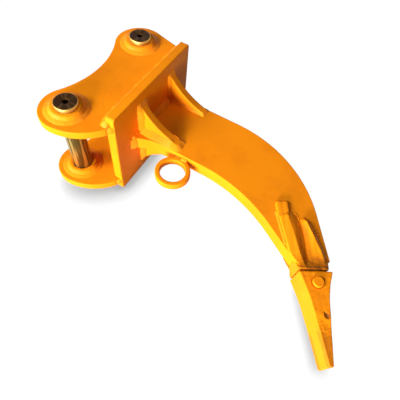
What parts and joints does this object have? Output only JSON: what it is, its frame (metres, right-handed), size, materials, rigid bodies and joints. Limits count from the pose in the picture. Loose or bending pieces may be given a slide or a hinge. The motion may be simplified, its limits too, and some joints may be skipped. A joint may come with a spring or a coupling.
{
  "type": "ripper shank tooth",
  "caption": "Curved ripper shank for a small excavator: pin ears with bushes and pins, base plate, gussets, lifting ring, weld-on adapter and pinned tooth.",
  "frame": {"origin": "on the stick pin's axis, midway between the ears", "axes": "+Z along the pins, +X from the pins towards the shank and tooth, +Y from the stick pin towards the link pin"},
  "size_m": [0.4039, 0.2718, 0.1335],
  "materials": {
    "orange_paint": "gloss",
    "weld_paint": "gloss",
    "cast_paint": "gloss over a rough casting",
    "pin_steel": "yellow zinc, dark"
  },
  "bodies": {
    "root": {"upper_ear": "orange_paint", "lower_ear": "orange_paint", "upper_stick_bush": "orange_paint", "lower_stick_bush": "orange_paint", "upper_link_bush": "orange_paint", "lower_link_bush": "orange_paint", "stick_pin": "pin_steel", "link_pin": "pin_steel", "base_plate": "orange_paint", "shank": "orange_paint", "upper_inner_gusset": "orange_paint", "upper_outer_gusset": "orange_paint", "lower_inner_gusset": "orange_paint", "lower_outer_gusset": "orange_paint", "lifting_ring": "orange_paint", "adapter": "cast_paint", "tooth": "cast_paint", "tooth_pin": "cast_paint", "upper_stick_bush_welds": "weld_paint", "lower_stick_bush_welds": "weld_paint", "upper_link_bush_welds": "weld_paint", "lower_link_bush_welds": "weld_paint", "upper_ear_weld": "weld_paint", "lower_ear_weld": "weld_paint", "upper_shank_weld": "weld_paint", "lower_shank_weld": "weld_paint", "inner_shank_weld": "weld_paint", "outer_shank_weld": "weld_paint", "upper_inner_gusset_weld": "weld_paint", "upper_outer_gusset_weld": "weld_paint", "lower_inner_gusset_weld": "weld_paint", "lower_outer_gusset_weld": "weld_paint", "ring_weld": "weld_paint", "upper_strap_weld": "weld_paint", "lower_strap_weld": "weld_paint"}
  },
  "joints": []
}
